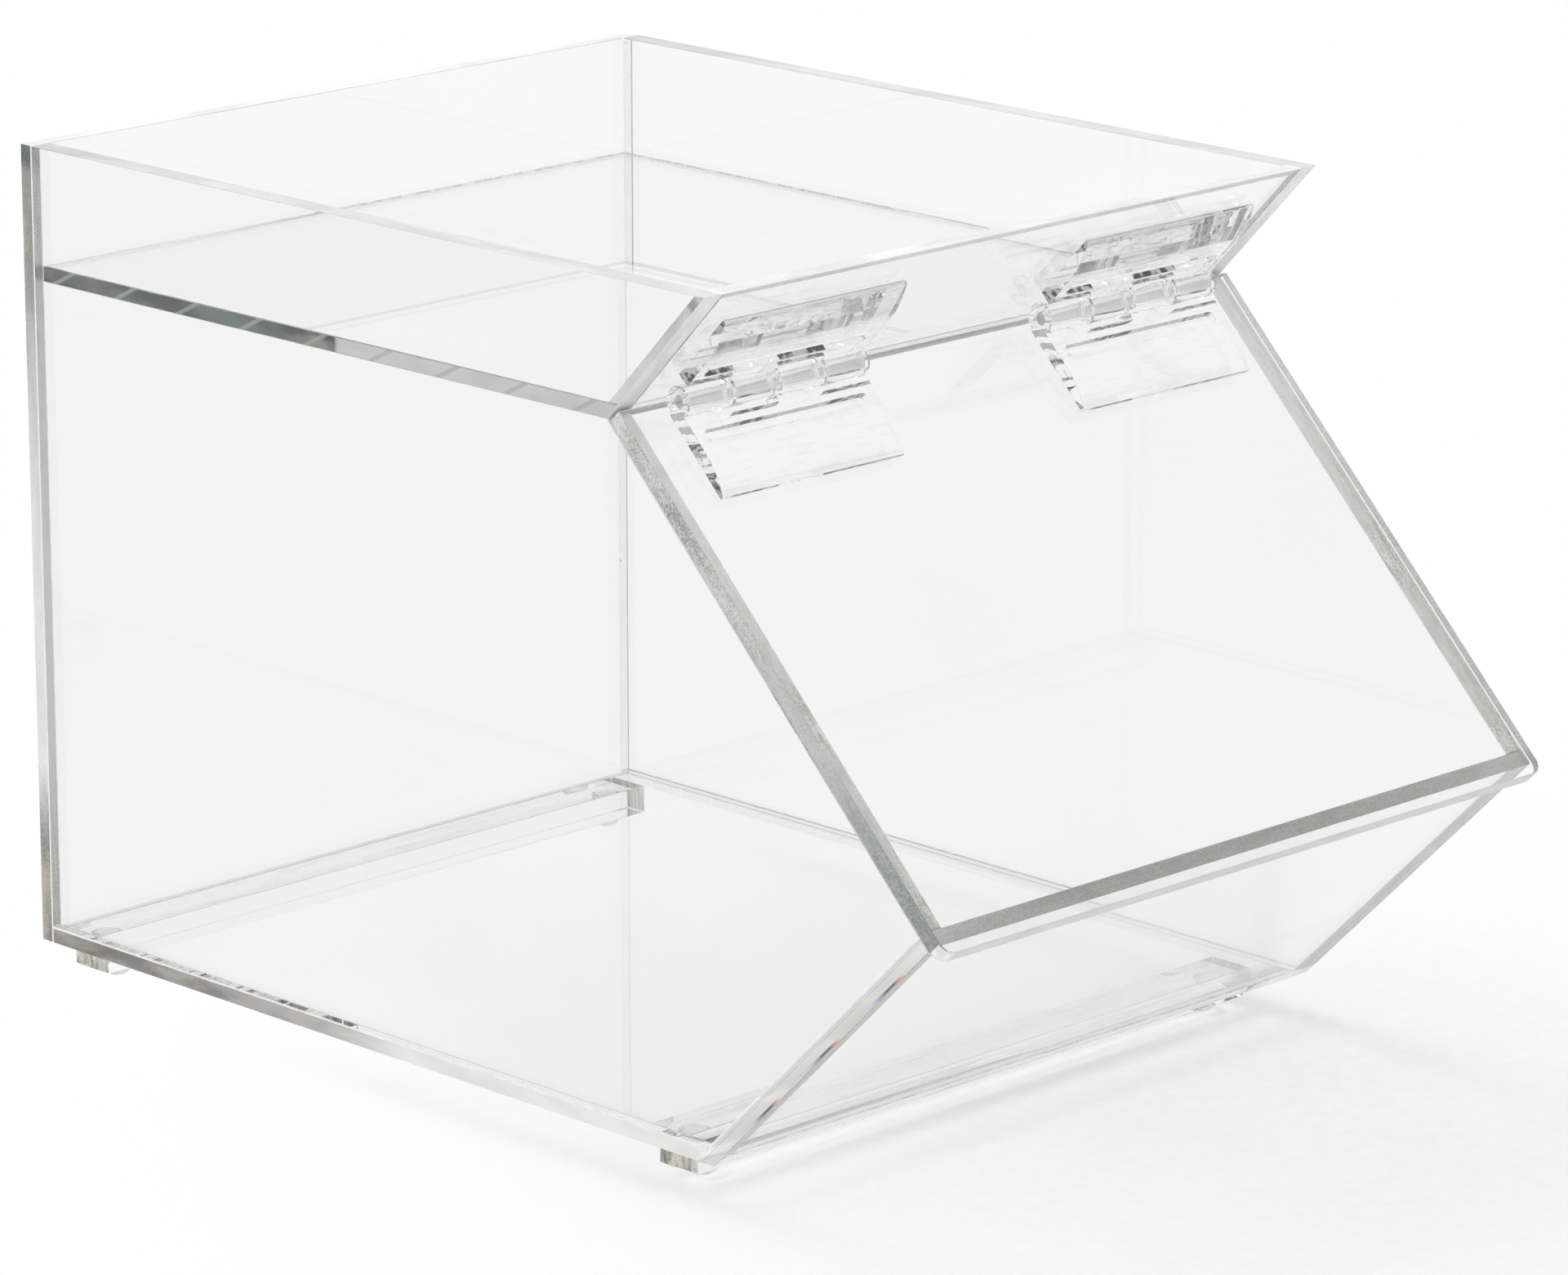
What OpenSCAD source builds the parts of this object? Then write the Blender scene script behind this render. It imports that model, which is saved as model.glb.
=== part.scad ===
// Countertop bin of clear cast acrylic sheet with an open tray on top and a sloped,
// top-hinged front door. Sheets are sawn to size and bonded edge to face.
// Millimetres. The origin is on the floor, under the middle of the overall box;
// +X is the bin's right seen from the front, the door faces -Y, +Z is up.

/* [Shell] */
// Overall width, across the outer faces of the side panels
bin_w = 203; // [150:1:320]
// Height of the rim above the underside of the base panel
bin_h = 202; // [190:1:260]
// Depth of the rim's front tip, from the outer face of the back panel
rim_d = 238.4; // [225:0.1:260]
// Depth of the notch where the fascia and the door meet, from the same face
notch_d = 206.5; // [190:0.1:215]
// Height of the rim above that notch
notch_drop = 33; // [26:0.1:42]
// Depth of the nose, the lower end of the slope that the door closes on
nose_d = 307.7; // [290:0.1:330]
// Height of the nose
nose_z = 66.5; // [50:0.1:85]
// Depth of the foot of the lower front panel
foot_d = 239.9; // [225:0.1:255]

/* [Sheets] */
// Thickness of each side panel
side_t = 5.6; // [4:0.1:8]
// Thickness of the back panel
back_t = 4; // [3:0.1:6]
// Thickness of the base panel
base_t = 4; // [3:0.1:6]
// Thickness of the tray panel
tray_t = 4; // [3.2:0.1:6]
// Thickness of the fascia panel
fascia_t = 4; // [3:0.1:6]
// Thickness of the lower front panel
front_t = 4; // [3:0.1:6]
// Height of the tray's top face above the notch
tray_rise = 2.9; // [1:0.1:3]

/* [Door] */
// Thickness of the door panel
door_t = 4; // [3:0.1:6]
// How far the door's lower end reaches past the nose, as a finger lip
door_lip = 3.5; // [0:0.1:10]
// Radius of the door's two lower corners
door_corner_r = 3.5; // [1:0.1:12]
// Gap between the closed door's back face and the edges that it rests against
door_seat_gap = 0.2; // [0.1:0.05:0.6]
// Gap between the door's top end and the plane of the fascia
door_top_gap = 0.8; // [0.5:0.1:2]

/* [Hinges] */
// Width of each hinge, along its pin
hinge_w = 58; // [40:0.5:70]
// Reach of a leaf on the fascia, from the pin's axis to its thin edge
fascia_leaf_reach = 25.6; // [18:0.1:29]
// Reach of a leaf on the door, from the pin's axis to its thin edge
door_leaf_reach = 24.1; // [18:0.1:29]
// Outer diameter of the knuckles
knuckle_d = 7.6; // [6:0.1:9]
// Gap between a knuckle and the panels that it turns over
knuckle_clear = 0.4; // [0.3:0.05:1]
// Number of knuckles in a hinge, shared in turn by its two leaves
knuckle_count = 4; // [2:2:8]
// Gap between neighbouring knuckles, along the pin
knuckle_gap = 0.3; // [0.2:0.05:0.6]
// Bevel on the rim of each knuckle's ends
knuckle_bevel = 0.35; // [0.1:0.05:0.6]
// Distance from the pin's axis to the edge of a leaf's cut-outs
cutout_reach = 5.2; // [4.6:0.1:6.5]
// Diameter of the pin
pin_d = 3.6; // [3:0.1:4.4]
// Gap all round the pin in its bore
pin_clear = 0.05; // [0.02:0.01:0.1]
// How far each end of the pin sits inside the barrel
pin_recess = 0.8; // [0.2:0.1:2]
// Thickness of a leaf, from the barrel to where its outer face curves down
leaf_root_t = 3.6; // [3:0.1:3.8]
// Thickness of a leaf at its thin edge
leaf_edge_t = 0.9; // [0.5:0.1:1.4]
// Distance from the pin's axis to where that face starts to curve down
crown_reach = 13.5; // [12:0.1:15]
// Distance from the pin's axis to the middle of the groove along a leaf
groove_reach = 9.3; // [9:0.1:10]
// Width of that groove
groove_w = 2.8; // [1:0.1:4]
// Thickness left under that groove
groove_floor = 1.7; // [0.8:0.1:2]
// Length of leaf left at each end of the groove
groove_end = 3; // [1:0.5:8]
// Diameter of the shallow moulding mark at the root of each knuckle
mark_d = 4.8; // [2:0.1:5]
// Distance from the pin's axis to the middle of that mark
mark_reach = 6.1; // [5:0.1:8]
// Depth of that mark
mark_depth = 0.15; // [0.05:0.05:0.4]
// Distance of each hinge from the bin's nearer side face
hinge_inset = 13.4; // [4:0.1:25]

/* [Feet] */
// Height of the two runner bars under the base
runner_h = 7.4; // [4:0.1:15]
// Width of a runner bar, front to back
runner_w = 12.7; // [8:0.1:20]
// Distance of a runner's ends from the bin's sides
runner_end_inset = 8; // [5:0.5:20]
// Distance of the rear runner from the back panel's outer face
rear_runner_inset = 3; // [0:0.5:20]
// Distance of the front runner behind the foot of the lower front panel
front_runner_setback = 13.4; // [6:0.1:40]
// Diameter of a bumper pad
bumper_d = 8; // [6:0.5:12]
// Height of a bumper pad
bumper_h = 2.8; // [1.5:0.1:4]
// Diameter of the flat that a bumper stands on
bumper_flat_d = 4; // [2:0.5:5]
// Height of a bumper's straight rim, where it meets the runner
bumper_rim_h = 0.4; // [0.2:0.1:1]
// Distance from a runner's end to the middle of its bumper
bumper_end_inset = 8; // [7:0.5:40]

/* [Hidden] */
$fn = 64;

// Cutting shapes run past the faces that they cut by this much
over = 1;
clear_sheet = [0.88, 0.92, 0.92, 0.45];
thick_sheet = [0.84, 0.89, 0.89, 0.5];
moulded_clear = [0.80, 0.84, 0.86, 0.6];
pad_clear = [0.90, 0.90, 0.90, 0.6];

// The side view is drawn as [depth from the back, height above the base's underside].
// meet() is the point where two lines cross, each given by a point and a direction.
function unit(v) = v / norm(v);
function meet(p, along_p, q, along_q) =
    p + along_p * cross(q - p, along_q) / cross(along_p, along_q);
function at_height(p, along_p, z) = p + along_p * (z - p[1]) / along_p[1];

tip = [rim_d, bin_h];
notch = [notch_d, bin_h - notch_drop];
nose = [nose_d, nose_z];
foot = [foot_d, 0];

// Directions down the door, up the fascia and up the lower front, with outward normals
door_dir = unit(nose - notch);
door_out = [-door_dir[1], door_dir[0]];
fascia_dir = unit(tip - notch);
fascia_out = [fascia_dir[1], -fascia_dir[0]];
front_dir = unit(nose - foot);
front_out = [front_dir[1], -front_dir[0]];
door_tilt = atan2(-door_dir[1], door_dir[0]);
fascia_tilt = atan2(fascia_dir[1], fascia_dir[0]);

tray_top = notch[1] + tray_rise;
fascia_inner = notch - fascia_out * fascia_t;
front_inner = foot - front_out * front_t;
front_inner_top = meet(front_inner, front_dir, notch, door_dir);
front_inner_foot = at_height(front_inner, front_dir, 0);
front_inner_base = at_height(front_inner, front_dir, base_t);

// Each side panel stands on the base, between the back and the lower front panel
side_outline = [
    [back_t, base_t], [back_t, bin_h], tip, notch, front_inner_top, front_inner_base
];

// The pin's axis stands the same distance off the door's face and off the fascia's
axis_off = knuckle_d / 2 + knuckle_clear;
door_face = door_seat_gap + door_t;
axis_point = meet(
    notch + door_out * (door_face + axis_off), door_dir,
    notch + fascia_out * axis_off, fascia_dir
);
axis_along_door = (axis_point - notch) * door_dir;
door_len = norm(nose - notch) + door_lip;
// The door's hidden top edge is eased to this radius, so that it swings clear of the sides
swing_r = door_t + axis_off + door_seat_gap / 2;

foot_h = runner_h + bumper_h;
door_foremost = notch + door_dir * door_len + door_out * door_face;
bin_d = max(door_foremost[0], nose_d);
inner_w = bin_w - 2 * side_t;
pitch = hinge_w / knuckle_count;
hinge_x = bin_w / 2 - hinge_inset - hinge_w / 2;
runner_len = bin_w - 2 * runner_end_inset;
bumper_x = runner_len / 2 - bumper_end_inset;
front_runner_d = foot_d - front_runner_setback - runner_w;

// A point of the side view as a place in the bin's frame, at distance x from the middle
function place(p, x = 0) = [x, bin_d / 2 - p[0], foot_h + p[1]];

// Draws a side-view outline as a sheet of width w, centred at distance x
module across(w, x = 0) {
    translate(place([0, 0], x + w / 2))
        rotate([90, 0, -90])
            linear_extrude(w) children();
}

module side_panel(x) {
    color(thick_sheet)
        across(side_t, x) polygon(side_outline);
}

module back_panel() {
    color(clear_sheet)
        across(bin_w) square([back_t, bin_h]);
}

module base_panel() {
    color(clear_sheet)
        across(bin_w)
            polygon([[back_t, 0], front_inner_foot, front_inner_base, [back_t, base_t]]);
}

module left_side_panel() {
    side_panel(side_t / 2 - bin_w / 2);
}

module right_side_panel() {
    side_panel(bin_w / 2 - side_t / 2);
}

// The tray's front edge is cut to the sides' outline at the notch
module tray_panel() {
    color(clear_sheet)
        across(inner_w)
            intersection() {
                translate([back_t, tray_top - tray_t]) square([nose_d, tray_t]);
                polygon(side_outline);
            }
}

// The fascia stands on the tray, between the sides, flush with their sloped edges
module fascia_panel() {
    color(clear_sheet)
        across(inner_w)
            polygon([
                at_height(notch, fascia_dir, tray_top), tip,
                at_height(fascia_inner, fascia_dir, bin_h),
                at_height(fascia_inner, fascia_dir, tray_top)
            ]);
}

// The lower front covers the sides' edges, and the door closes on its upper edge
module lower_front_panel() {
    color(clear_sheet)
        across(bin_w) polygon([foot, nose, front_inner_top, front_inner_foot]);
}

module door_section() {
    intersection() {
        polygon([
            for (corner = [
                [door_top_gap, door_seat_gap], [door_len, door_seat_gap],
                [door_len, door_face], [door_top_gap, door_face]
            ]) notch + door_dir * corner[0] + door_out * corner[1]
        ]);
        union() {
            translate(axis_point) circle(swing_r);
            translate(notch) rotate(-door_tilt)
                translate([axis_along_door, -over])
                    square([door_len, door_face + 2 * over]);
        }
    }
}

// The door's front view, hanging from the notch, with its two lower corners rounded
module door_plan() {
    translate([-bin_w / 2, door_corner_r - door_len]) square([bin_w, door_len - door_corner_r]);
    translate([door_corner_r - bin_w / 2, -door_len])
        square([bin_w - 2 * door_corner_r, 2 * door_corner_r]);
    for (side = [-1, 1])
        translate([side * (bin_w / 2 - door_corner_r), door_corner_r - door_len])
            circle(door_corner_r);
}

module door_panel() {
    color(clear_sheet)
        intersection() {
            across(bin_w + 2 * over) door_section();
            translate(place(notch)) rotate([door_tilt, 0, 0])
                translate([0, 0, -over]) linear_extrude(door_face + 2 * over) door_plan();
        }
}

// One moulded leaf. x runs along the pin, y is the distance from the pin's axis along the
// panel, z is the height above the panel. Turned end for end, the knuckles of one leaf fall
// into the cut-outs of the other. The outer face is flat, then curves down to the thin edge.
module leaf_section(reach) {
    crown_run = reach - crown_reach;
    crown_drop = leaf_root_t - leaf_edge_t;
    crown_r = (crown_run * crown_run + crown_drop * crown_drop) / (2 * crown_drop);
    square([crown_reach, leaf_root_t]);
    intersection() {
        square([reach, leaf_root_t]);
        translate([crown_reach, leaf_root_t - crown_r]) circle(crown_r);
    }
}

module knuckle(x_from, x_to) {
    r = knuckle_d / 2;
    w = x_to - x_from;
    translate([x_from, 0, axis_off]) rotate([0, 90, 0])
        rotate_extrude()
            polygon([
                [0, 0], [r - knuckle_bevel, 0], [r, knuckle_bevel],
                [r, w - knuckle_bevel], [r - knuckle_bevel, w], [0, w]
            ]);
}

module groove() {
    straight = hinge_w - 2 * groove_end - groove_w;
    translate([-straight / 2, groove_reach - groove_w / 2, groove_floor])
        cube([straight, groove_w, leaf_root_t]);
    for (side = [-1, 1])
        translate([side * straight / 2, groove_reach, groove_floor])
            cylinder(h = leaf_root_t, d = groove_w);
}

module hinge_leaf(reach) {
    x_end = hinge_w / 2;
    half_gap = knuckle_gap / 2;
    difference() {
        union() {
            rotate([90, 0, 90])
                translate([0, 0, -x_end]) linear_extrude(hinge_w) leaf_section(reach);
            for (i = [1:2:knuckle_count - 1])
                knuckle(
                    i * pitch - x_end + half_gap,
                    (i + 1) * pitch - x_end - (i < knuckle_count - 1 ? half_gap : 0)
                );
        }
        for (i = [0:2:knuckle_count - 2])
            translate([i * pitch - x_end - (i > 0 ? half_gap : over), -over, -over])
                cube([
                    pitch + half_gap + (i > 0 ? half_gap : over),
                    cutout_reach + over, leaf_root_t + 2 * over
                ]);
        translate([-x_end - over, 0, axis_off]) rotate([0, 90, 0])
            cylinder(h = hinge_w + 2 * over, d = pin_d + 2 * pin_clear);
        groove();
        for (i = [1:2:knuckle_count - 1])
            translate([(i + 0.5) * pitch - x_end, mark_reach, leaf_root_t - mark_depth])
                cylinder(h = over, d = mark_d);
    }
}

module fascia_leaf(x) {
    color(moulded_clear)
        translate(place(axis_point, x)) rotate([180 - fascia_tilt, 0, 0])
            translate([0, 0, -axis_off]) hinge_leaf(fascia_leaf_reach);
}

module door_leaf(x) {
    color(moulded_clear)
        translate(place(axis_point, x)) rotate([door_tilt, 0, 0]) rotate([0, 0, 180])
            translate([0, 0, -axis_off]) hinge_leaf(door_leaf_reach);
}

module hinge_pin(x) {
    color(moulded_clear)
        translate(place(axis_point, x)) rotate([0, 90, 0])
            cylinder(h = hinge_w - 2 * pin_recess, d = pin_d, center = true);
}

module left_fascia_leaf() {
    fascia_leaf(-hinge_x);
}

module left_door_leaf() {
    door_leaf(-hinge_x);
}

module left_hinge_pin() {
    hinge_pin(-hinge_x);
}

module right_fascia_leaf() {
    fascia_leaf(hinge_x);
}

module right_door_leaf() {
    door_leaf(hinge_x);
}

module right_hinge_pin() {
    hinge_pin(hinge_x);
}

// A runner is a bar bonded under the base, from depth d forward
module runner(d) {
    color(thick_sheet)
        across(runner_len) translate([d, -runner_h]) square([runner_w, runner_h]);
}

module front_runner() {
    runner(front_runner_d);
}

module rear_runner() {
    runner(rear_runner_inset);
}

// A bumper is a self-adhesive domed pad, flat where it stands
module bumper(x, runner_d) {
    dome_h = bumper_h - bumper_rim_h;
    edge = pow(bumper_d / 2, 2);
    flat = pow(bumper_flat_d / 2, 2);
    dome_z = (edge + dome_h * dome_h - flat) / (2 * dome_h);
    dome_r = sqrt(flat + dome_z * dome_z);
    color(pad_clear)
        translate(place([runner_d + runner_w / 2, -foot_h], x))
            rotate_extrude()
                intersection() {
                    square([bumper_d / 2, bumper_h]);
                    translate([0, dome_z]) circle(dome_r);
                }
}

module front_left_bumper() {
    bumper(-bumper_x, front_runner_d);
}

module front_right_bumper() {
    bumper(bumper_x, front_runner_d);
}

module rear_left_bumper() {
    bumper(-bumper_x, rear_runner_inset);
}

module rear_right_bumper() {
    bumper(bumper_x, rear_runner_inset);
}

back_panel();
base_panel();
left_side_panel();
right_side_panel();
tray_panel();
fascia_panel();
lower_front_panel();
door_panel();
left_fascia_leaf();
left_door_leaf();
left_hinge_pin();
right_fascia_leaf();
right_door_leaf();
right_hinge_pin();
front_runner();
rear_runner();
front_left_bumper();
front_right_bumper();
rear_left_bumper();
rear_right_bumper();
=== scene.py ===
"""Clear acrylic countertop bin: polished cast sheet with sawn edges, moulded hinges, soft pads.

Every sheet, leaf, pin, bar and pad is a copy of its solid; all but the pads have eased edges.
The faces of a sheet are polished, its edges carry the finish that the saw, the polishing wheel
or the solvent bond left there, with bands of painted shade and reflection along many of them.
"""
import math

import bmesh
import bpy
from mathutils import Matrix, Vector
from mathutils.bvhtree import BVHTree


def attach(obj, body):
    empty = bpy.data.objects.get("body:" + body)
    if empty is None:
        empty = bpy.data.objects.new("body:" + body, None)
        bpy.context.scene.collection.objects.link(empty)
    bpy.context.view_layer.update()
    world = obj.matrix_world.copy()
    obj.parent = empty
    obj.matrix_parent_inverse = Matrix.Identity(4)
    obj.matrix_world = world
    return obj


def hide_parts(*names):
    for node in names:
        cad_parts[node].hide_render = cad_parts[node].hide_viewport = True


MM = 0.001
IOR_ACRYLIC = 1.49
# A bonded face has acrylic on both sides, so light crosses it as if it weren't there
IOR_BONDED = 1.0

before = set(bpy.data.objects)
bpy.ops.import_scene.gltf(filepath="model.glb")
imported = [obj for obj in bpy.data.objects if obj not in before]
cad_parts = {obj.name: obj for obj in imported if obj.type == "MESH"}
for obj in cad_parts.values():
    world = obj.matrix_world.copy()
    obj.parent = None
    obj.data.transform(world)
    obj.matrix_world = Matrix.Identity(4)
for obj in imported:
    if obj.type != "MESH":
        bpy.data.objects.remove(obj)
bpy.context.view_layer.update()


# Camera, fitted to the bin's corners in the photograph's 1920 x 1561 frame

camera_data = bpy.data.cameras.new("camera")
camera_data.sensor_fit = "HORIZONTAL"
camera_data.sensor_width = 36
camera_data.lens = 171.416
camera_data.clip_end = 20
camera = bpy.data.objects.new("camera", camera_data)
camera.location = (-1.217723, -1.235418, 0.575737)
camera.rotation_euler = [math.radians(a) for a in (74.63256, 0.04695, -44.68362)]
bpy.context.scene.collection.objects.link(camera)
bpy.context.scene.camera = camera
bpy.context.scene.view_settings.view_transform = "Standard"
# Light that enters a sheet by its edge bounces dozens of times before it leaves it again
bpy.context.scene.cycles.max_bounces = 96
bpy.context.scene.cycles.transmission_bounces = 96
bpy.context.scene.cycles.glossy_bounces = 96
# The glossy filter would roughen the sheet that light from a matte surface has to cross
bpy.context.scene.cycles.blur_glossy = 0


# Materials

def linear(hex_code):
    """An sRGB hex colour as linear red, green, blue, alpha."""
    channels = [int(hex_code[i:i + 2], 16) / 255 for i in (1, 3, 5)]
    return [
        c / 12.92 if c <= 0.04045 else ((c + 0.055) / 1.055) ** 2.4 for c in channels
    ] + [1.0]


def add_node(tree, kind, inputs=None, links=None, stops=None, **settings):
    """Adds a node with its settings, its inputs' values, its links and its ramp's stops."""
    node = tree.nodes.new(kind)
    for name, value in settings.items():
        setattr(node, name, value)
    for socket, value in (inputs or {}).items():
        node.inputs[socket].default_value = value
    for socket, source in (links or {}).items():
        tree.links.new(source, node.inputs[socket])
    if stops:
        ramp = node.color_ramp
        while len(ramp.elements) < len(stops):
            ramp.elements.new(1.0)
        for element, (place, colour) in zip(ramp.elements, stops):
            element.position = place
            element.color = linear(colour) if isinstance(colour, str) else [colour] * 3 + [1]
    return node


def start_material(name, **inputs):
    """A material with a Principled shader, and the Object coordinates it draws its pattern on."""
    material = bpy.data.materials.new(name)
    material.use_nodes = True
    tree = material.node_tree
    tree.nodes.clear()
    shader = add_node(tree, "ShaderNodeBsdfPrincipled", inputs)
    add_node(tree, "ShaderNodeOutputMaterial", links={"Surface": shader.outputs["BSDF"]})
    coords = add_node(tree, "ShaderNodeTexCoord").outputs["Object"]
    return material, tree, shader, coords


CLEAR = {"IOR": IOR_ACRYLIC, "Transmission Weight": 1.0, "Roughness": 0.0}
BONDED = {"IOR": IOR_BONDED, "Transmission Weight": 1.0, "Roughness": 0.0}
FROSTED = {"IOR": IOR_ACRYLIC, "Transmission Weight": 1.0, "Roughness": 0.3}
SAWN = {"IOR": IOR_ACRYLIC, "Transmission Weight": 0.0}


def tinted(name, grain, stops, inputs, detail=2.0):
    """A material whose colour runs through stops on noise with the given grain in mm."""
    material, tree, shader, coords = start_material(name, **inputs)
    noise = add_node(
        tree, "ShaderNodeTexNoise", {"Scale": 1 / (grain * MM), "Detail": detail},
        {"Vector": coords},
    ).outputs["Fac"]
    colour = add_node(tree, "ShaderNodeValToRGB", links={"Fac": noise}, stops=stops)
    tree.links.new(colour.outputs["Color"], shader.inputs["Base Color"])
    return material, tree, shader, noise


def cast_sheet():
    """Cast acrylic sheet, polished faces: almost no colour, hard even reflections."""
    return tinted(
        "cast_acrylic_polished", 90, [(0.3, "#f8f8f8"), (0.7, "#fafafa")], CLEAR
    )[0]


def solvent_bond():
    """Solvent bond: the sheets are one piece of acrylic there, apart from stray bubbles."""
    material, tree, shader, coords = start_material("solvent_bond", **BONDED)
    bubbles = add_node(
        tree, "ShaderNodeTexVoronoi", {"Scale": 1 / (6 * MM)}, {"Vector": coords}
    )
    spots = add_node(
        tree, "ShaderNodeValToRGB", links={"Fac": bubbles.outputs["Distance"]},
        stops=[(0.05, "#a0a2a0"), (0.08, "#f9f9f9")],
    )
    tree.links.new(spots.outputs["Color"], shader.inputs["Base Color"])
    return material


def bond_line(name, stops):
    """Bead of dried solvent along the inside of a joint: frosted, with dashes where it broke.
    It fills the corner, so light crosses it almost straight."""
    return tinted(
        name, 2.2, stops, {"IOR": 1.1, "Transmission Weight": 1.0, "Roughness": 0.3}
    )[0]


def frosted_edge():
    """Sawn edge that the flame half cleared: it lets light through and scatters it a little."""
    return tinted("frosted_edge", 5, [(0.35, "#eeeeee"), (0.65, "#f8f8f8")], FROSTED)[0]


def milky_pin():
    """Hinge pin: moulded in a milkier acrylic than the leaves, smooth."""
    return tinted(
        "hinge_pin_milky", 4, [(0.35, "#f6f6f6"), (0.65, "#fefefe")],
        {"IOR": IOR_ACRYLIC, "Transmission Weight": 0.85, "Roughness": 0.1},
    )[0]


def cut_out_wall_painted_shade():
    """Walls of the leaves' cut-outs: opaque, matte pale acrylic with dark streaks of painted shade.
    """
    return tinted("cut_out_wall_painted_shade", 2.5, [(0.44, "#4c4b47"), (0.56, "#dcdcda")], SAWN)[0]


def runner_bond():
    """Bond under the base: flooded with solvent that left faint wavy marks."""
    material, tree, shader, coords = start_material("solvent_bond_runner", **BONDED)
    ripple = add_node(
        tree, "ShaderNodeMapping", {"Scale": (18, 160, 60)}, {"Vector": coords}
    ).outputs["Vector"]
    marks = add_node(
        tree, "ShaderNodeTexNoise", {"Scale": 2.0, "Detail": 3.0, "Distortion": 0.6},
        {"Vector": ripple},
    ).outputs["Fac"]
    colour = add_node(
        tree, "ShaderNodeValToRGB", links={"Fac": marks},
        stops=[(0.36, "#dededd"), (0.44, "#efefee"), (0.6, "#f7f7f7")],
    )
    tree.links.new(colour.outputs["Color"], shader.inputs["Base Color"])
    return material


def leaf_bond(name, along, stops):
    """Bond under a hinge leaf: streaks along the pin where the solvent ran short and air is
    left. along is the direction across the leaf, away from the pin."""
    material, tree, shader, coords = start_material(name, **BONDED)
    across = add_node(
        tree, "ShaderNodeVectorMath", {1: along}, {0: coords}, operation="DOT_PRODUCT"
    ).outputs["Value"]
    sideways = add_node(
        tree, "ShaderNodeVectorMath", {1: (1, 0, 0)}, {0: coords}, operation="DOT_PRODUCT"
    ).outputs["Value"]
    # Streaks run some 8 mm along the pin and 1 mm across it
    plan = add_node(
        tree, "ShaderNodeCombineXYZ", links={"X": sideways, "Y": across}
    ).outputs["Vector"]
    drawn = add_node(
        tree, "ShaderNodeMapping", {"Scale": (130, 900, 1)}, {"Vector": plan}
    ).outputs["Vector"]
    streaks = add_node(
        tree, "ShaderNodeTexNoise", {"Scale": 1.0, "Detail": 4.0, "Distortion": 0.8},
        {"Vector": drawn},
    ).outputs["Fac"]
    colour = add_node(tree, "ShaderNodeValToRGB", links={"Fac": streaks}, stops=stops)
    tree.links.new(colour.outputs["Color"], shader.inputs["Base Color"])
    return material


def scraped_corner_and_painted_highlight():
    """Scraped corner of a sheet, pale and matte; on the door's rounded corners it stands as a
    painted highlight.
    """
    material, _, shader, _ = tinted(
        "scraped_corner_and_painted_highlight", 2, [(0.35, "#e0e0df"), (0.65, "#f4f4f3")], SAWN
    )
    shader.inputs["Roughness"].default_value = 0.4
    return material


def joint_groove():
    """Groove between two scraped corners, filled with dried solvent: white."""
    material, _, shader, _ = tinted(
        "joint_groove", 3, [(0.35, "#f2f2f1"), (0.65, "#fdfdfd")], SAWN
    )
    shader.inputs["Roughness"].default_value = 0.3
    return material


def reach_along(node, along):
    """The lowest and the highest place of a node's solid along a direction."""
    places = [v.co.dot(along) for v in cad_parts[node].data.vertices]
    return min(places), max(places)


def edge_clouds_with_painted_shade(tree, coords, node, along, tones_with_painted_shade, patch, grit):
    """Colour and pattern of a sheet's edge, with bands of painted shade and reflection along it.
    Each tone is (share of the way along the edge, dark colour, light colour), patch is the width of
    a cloud in mm, grit the share of fine grain."""
    travel = add_node(
        tree, "ShaderNodeVectorMath", {1: along}, {0: coords}, operation="DOT_PRODUCT"
    ).outputs["Value"]
    first, last = reach_along(node, along)
    place = add_node(
        tree, "ShaderNodeMapRange", {"From Min": first, "From Max": last}, {"Value": travel}
    ).outputs["Result"]
    dark = add_node(
        tree, "ShaderNodeValToRGB", links={"Fac": place}, stops=[t[:2] for t in tones_with_painted_shade]
    ).outputs["Color"]
    light = add_node(
        tree, "ShaderNodeValToRGB", links={"Fac": place}, stops=[(t[0], t[2]) for t in tones_with_painted_shade]
    ).outputs["Color"]
    # The wheel draws the clouds out along the edge, to four times their width
    shortened = add_node(
        tree, "ShaderNodeVectorMath", {0: along}, operation="SCALE"
    )
    tree.links.new(
        add_node(
            tree, "ShaderNodeMath", {1: 0.75}, {0: travel}, operation="MULTIPLY"
        ).outputs["Value"],
        shortened.inputs["Scale"],
    )
    drawn = add_node(
        tree, "ShaderNodeVectorMath", links={0: coords, 1: shortened.outputs["Vector"]},
        operation="SUBTRACT",
    ).outputs["Vector"]
    clouds = add_node(
        tree, "ShaderNodeTexNoise", {"Scale": 1 / (patch * MM), "Detail": 4.0},
        {"Vector": drawn},
    ).outputs["Fac"]
    grain = add_node(
        tree, "ShaderNodeTexNoise", {"Scale": 1 / (0.45 * MM), "Detail": 2.0},
        {"Vector": coords},
    ).outputs["Fac"]
    pattern = add_node(
        tree, "ShaderNodeMix", {"Factor": grit}, {"A": clouds, "B": grain}, data_type="FLOAT"
    ).outputs["Result"]
    spread = add_node(
        tree, "ShaderNodeMapRange", {"From Min": 0.42, "From Max": 0.58}, {"Value": pattern}
    ).outputs["Result"]
    colour = add_node(
        tree, "ShaderNodeMix", links={0: spread, 6: dark, 7: light}, data_type="RGBA"
    ).outputs[2]
    return colour, pattern, place


def finish_edge(tree, shader, colour, pattern):
    """Gives an edge its colour, its satin and the slight relief of the saw."""
    tree.links.new(colour, shader.inputs["Base Color"])
    rough = add_node(tree, "ShaderNodeMapRange", {"To Min": 0.3, "To Max": 0.6}, {"Value": pattern})
    tree.links.new(rough.outputs["Result"], shader.inputs["Roughness"])
    bump = add_node(
        tree, "ShaderNodeBump", {"Strength": 0.2, "Distance": 0.1 * MM}, {"Height": pattern}
    )
    tree.links.new(bump.outputs["Normal"], shader.inputs["Normal"])


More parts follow.
